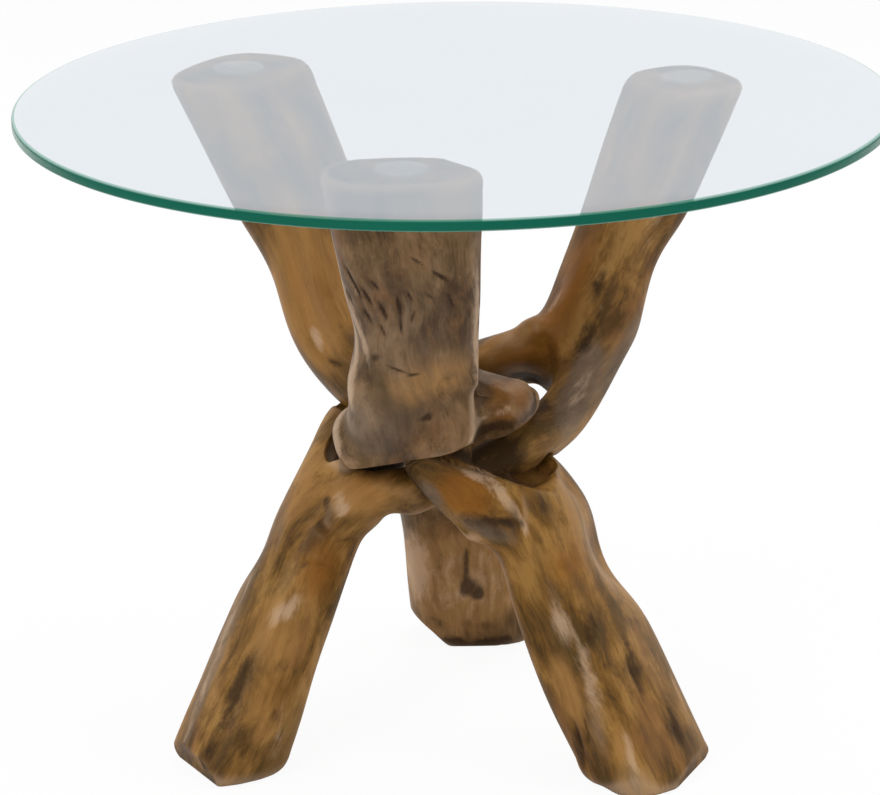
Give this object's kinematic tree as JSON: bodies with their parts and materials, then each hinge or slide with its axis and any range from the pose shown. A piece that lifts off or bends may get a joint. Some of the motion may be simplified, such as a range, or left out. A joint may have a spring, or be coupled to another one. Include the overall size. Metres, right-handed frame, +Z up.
{
  "type": "glass coffee table",
  "caption": "Low round coffee table: a loose clear glass disc on carved hardwood legs that lock together in a chain link, each leg passing through an eye in the next.",
  "frame": {"origin": "on the floor under the centre of the glass top", "axes": "+Z up, +X to the right as pictured, +Y away from the viewer: the front leg's top is towards -Y"},
  "size_m": [0.5999, 0.6, 0.45],
  "materials": {
    "glass": "polished, with a green edge",
    "wood": "carved, stained brown, satin varnish",
    "bumper": "clear"
  },
  "bodies": {
    "front_leg": {"front_leg": "wood", "front_bumper": "bumper"},
    "right_leg": {"right_leg": "wood", "right_bumper": "bumper"},
    "left_leg": {"left_leg": "wood", "left_bumper": "bumper"},
    "glass_top": {"glass_top": "glass"}
  },
  "joints": [
    {"name": "glass_lift", "type": "slide", "parent": "front_leg", "child": "glass_top", "axis": [0, 0, 1], "range_m": [0, 0.15]},
    {"name": "left_leg_fold", "type": "hinge", "parent": "front_leg", "child": "left_leg", "pos_m": [-0.013, 0.005, 0.214], "axis": [0.866, 0.5, 0], "range_deg": [0, 5]},
    {"name": "right_leg_fold", "type": "hinge", "parent": "front_leg", "child": "right_leg", "pos_m": [-0.013, 0.005, 0.214], "axis": [0.866, -0.5, 0], "range_deg": [0, 5]}
  ],
  "couplings": [
    {"joint": "left_leg_fold", "follows": "glass_lift", "rad_per_m": 0.5817},
    {"joint": "right_leg_fold", "follows": "glass_lift", "rad_per_m": 0.5817}
  ]
}
